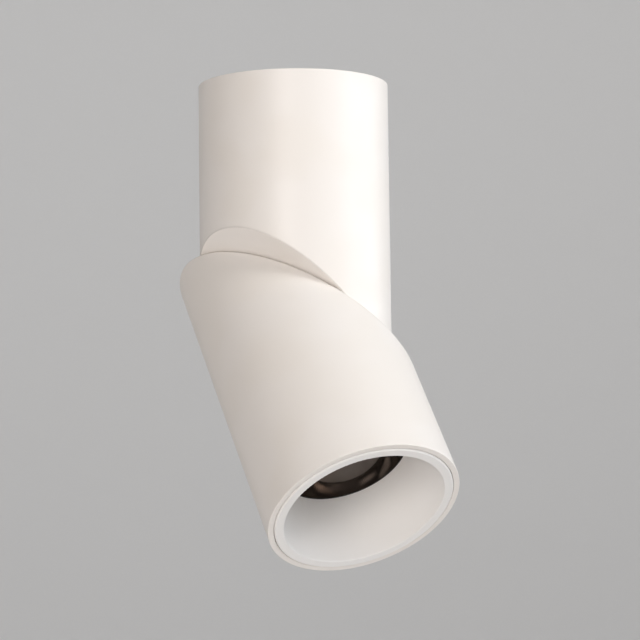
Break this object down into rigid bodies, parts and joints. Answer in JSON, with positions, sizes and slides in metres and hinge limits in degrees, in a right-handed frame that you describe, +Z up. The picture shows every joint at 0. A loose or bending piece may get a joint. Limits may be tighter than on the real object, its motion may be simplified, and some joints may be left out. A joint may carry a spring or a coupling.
{
  "type": "ceiling spotlight",
  "caption": "Round surface mounted ceiling spotlight: two tubes meet at a bias-cut twist joint, so the head folds to a right angle, and the lamp swivels on its ceiling plate.",
  "frame": {"origin": "centre of the ceiling plate's upper face, which lies on the ceiling", "axes": "+Z up into the ceiling along the upper tube's axis; the two screw slots lie along X; the front of the pictured pose faces -Y"},
  "size_m": [0.1143, 0.124, 0.2049],
  "materials": {
    "casing_white": "white powder coat, fine satin texture",
    "baffle_white": "white coat, matte",
    "zinc_steel": "zinc plated, pressed",
    "turned_steel": "turned, zinc plated",
    "spring_steel": "oiled spring steel",
    "cast_aluminium": "die cast, as cast",
    "sink_aluminium": "extruded and milled",
    "lacquered_screw": "white lacquered set screw",
    "nylon": "natural nylon",
    "driver_plastic": "moulded polycarbonate, matte",
    "terminal_plastic": "moulded polyamide",
    "lead_sheath": "white sheath",
    "thermal_grey": "silicone pad",
    "led_board": "white solder mask on aluminium",
    "phosphor": "yellow phosphor silicone",
    "holder_plastic": "moulded PBT, matte",
    "dark_mirror": "black chrome mirror",
    "ring_black": "black",
    "o_ring_rubber": "nitrile rubber"
  },
  "bodies": {
    "ceiling_mount": {"ceiling_plate": "zinc_steel", "swivel_post": "turned_steel", "swivel_thrust_washer": "zinc_steel", "swivel_spring": "spring_steel", "swivel_nut": "turned_steel", "earth_screw": "turned_steel"},
    "upper_body": {"turntable": "cast_aluminium", "swivel_friction_washer": "nylon", "swivel_stop_pin": "turned_steel", "driver_carrier": "zinc_steel", "carrier_screws": "turned_steel", "driver_housing": "driver_plastic", "driver_lid": "driver_plastic", "terminal_block": "terminal_plastic", "mains_lead": "lead_sheath", "upper_casing": "casing_white", "casing_grub_screws": "lacquered_screw", "twist_bolt": "turned_steel", "twist_friction_washer": "nylon", "twist_spring": "spring_steel", "twist_nut": "turned_steel", "twist_stop_pin": "turned_steel", "led_lead_upper": "lead_sheath"},
    "head": {"head_casing": "casing_white", "twist_thrust_washer": "zinc_steel", "heat_sink": "sink_aluminium", "heat_sink_screws": "turned_steel", "thermal_pad": "thermal_grey", "cob_board": "led_board", "cob_emitter": "phosphor", "led_holder": "holder_plastic", "led_holder_screws": "turned_steel", "led_lead_head": "lead_sheath", "reflector": "dark_mirror", "reflector_ring": "ring_black", "baffle": "baffle_white", "baffle_o_ring": "o_ring_rubber"}
  },
  "joints": [
    {"name": "swivel", "type": "hinge", "parent": "ceiling_mount", "child": "upper_body", "pos_m": [0, 0, 0], "axis": [0, 0, 1], "range_deg": [-170, 170]},
    {"name": "twist", "type": "hinge", "parent": "upper_body", "child": "head", "pos_m": [0, 0, -0.105], "axis": [-0.4777, -0.5213, -0.7071], "range_deg": [-53, 127]}
  ]
}
